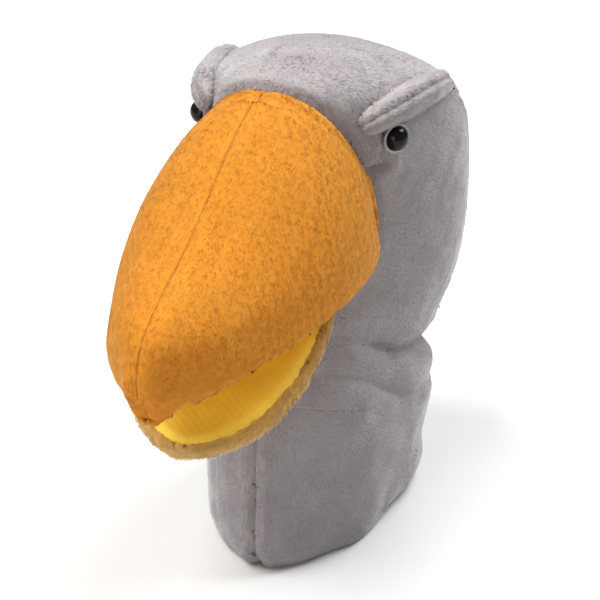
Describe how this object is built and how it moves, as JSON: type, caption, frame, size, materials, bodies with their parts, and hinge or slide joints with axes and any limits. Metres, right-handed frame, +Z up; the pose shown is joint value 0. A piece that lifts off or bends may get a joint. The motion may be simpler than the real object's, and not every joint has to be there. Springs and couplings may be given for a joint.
{
  "type": "moving mouth puppet",
  "caption": "Plush hand puppet of a big-billed grey bird: a hand in the sleeve turns and nods the head and opens the bill.",
  "frame": {"origin": "centre of the sleeve's opening, on the plane that the hem stands on", "axes": "+Z up out of the sleeve, the bill points along -Y, the bird's left is +X"},
  "size_m": [0.134, 0.2835, 0.2582],
  "materials": {
    "grey_plush": "short soft pile, brushed both ways",
    "orange_plush": "short soft pile",
    "tan_plush": "short soft pile",
    "yellow_cloth": "smooth knitted cloth",
    "white_lining": "thin knitted lining",
    "stuffing": "loose polyester fibre",
    "foam_board": "thin closed-cell foam sheet",
    "eye_black": "polished",
    "eye_white": "satin",
    "washer_plastic": "moulded"
  },
  "bodies": {
    "sleeve": {"neck_panel_left": "grey_plush", "neck_panel_right": "grey_plush", "sleeve_lining": "white_lining", "hem_facing": "grey_plush"},
    "neck_lower": {"neck_band_lower": "grey_plush", "neck_lining": "white_lining"},
    "neck_upper": {"neck_band_upper": "grey_plush"},
    "head": {"throat_band": "grey_plush", "crown_gusset": "grey_plush", "head_side_left": "grey_plush", "head_side_right": "grey_plush", "brow_flap_left": "grey_plush", "brow_flap_right": "grey_plush", "brow_filling_left": "stuffing", "brow_filling_right": "stuffing", "hand_tunnel": "white_lining", "crown_stuffing": "stuffing", "back_stuffing": "stuffing", "cheek_stuffing_left": "stuffing", "cheek_stuffing_right": "stuffing", "eye_left": "eye_black", "eye_right": "eye_black", "eye_disc_left": "eye_white", "eye_disc_right": "eye_white", "eye_washer_left": "washer_plastic", "eye_washer_right": "washer_plastic", "bill_panel_left": "orange_plush", "bill_panel_right": "orange_plush", "palate_lining": "yellow_cloth", "palate_board": "foam_board", "finger_pocket": "white_lining", "bill_stuffing": "stuffing", "mouth_fold": "yellow_cloth"},
    "jaw": {"jaw_panel": "tan_plush", "jaw_lining": "yellow_cloth", "jaw_board": "foam_board", "thumb_pocket": "white_lining", "jaw_stuffing": "stuffing"}
  },
  "joints": [
    {"name": "head_turn", "type": "hinge", "parent": "sleeve", "child": "neck_lower", "pos_m": [0, -0.019, 0.101], "axis": [0, 0, 1], "range_deg": [-30, 30], "deforming": ["neck_band_lower", "neck_lining"]},
    {"name": "head_tilt", "type": "hinge", "parent": "neck_lower", "child": "neck_upper", "pos_m": [0, -0.019, 0.101], "axis": [0, 1, 0], "range_deg": [-12, 12], "deforming": ["neck_band_upper"]},
    {"name": "head_nod", "type": "hinge", "parent": "neck_upper", "child": "head", "pos_m": [0, -0.019, 0.101], "axis": [1, 0, 0], "range_deg": [-18, 18], "deforming": ["throat_band"]},
    {"name": "mouth_hinge", "type": "hinge", "parent": "head", "child": "jaw", "pos_m": [0, -0.068, 0.1632], "axis": [1, 0, 0], "range_deg": [-13, 26], "deforming": ["mouth_fold"]}
  ]
}
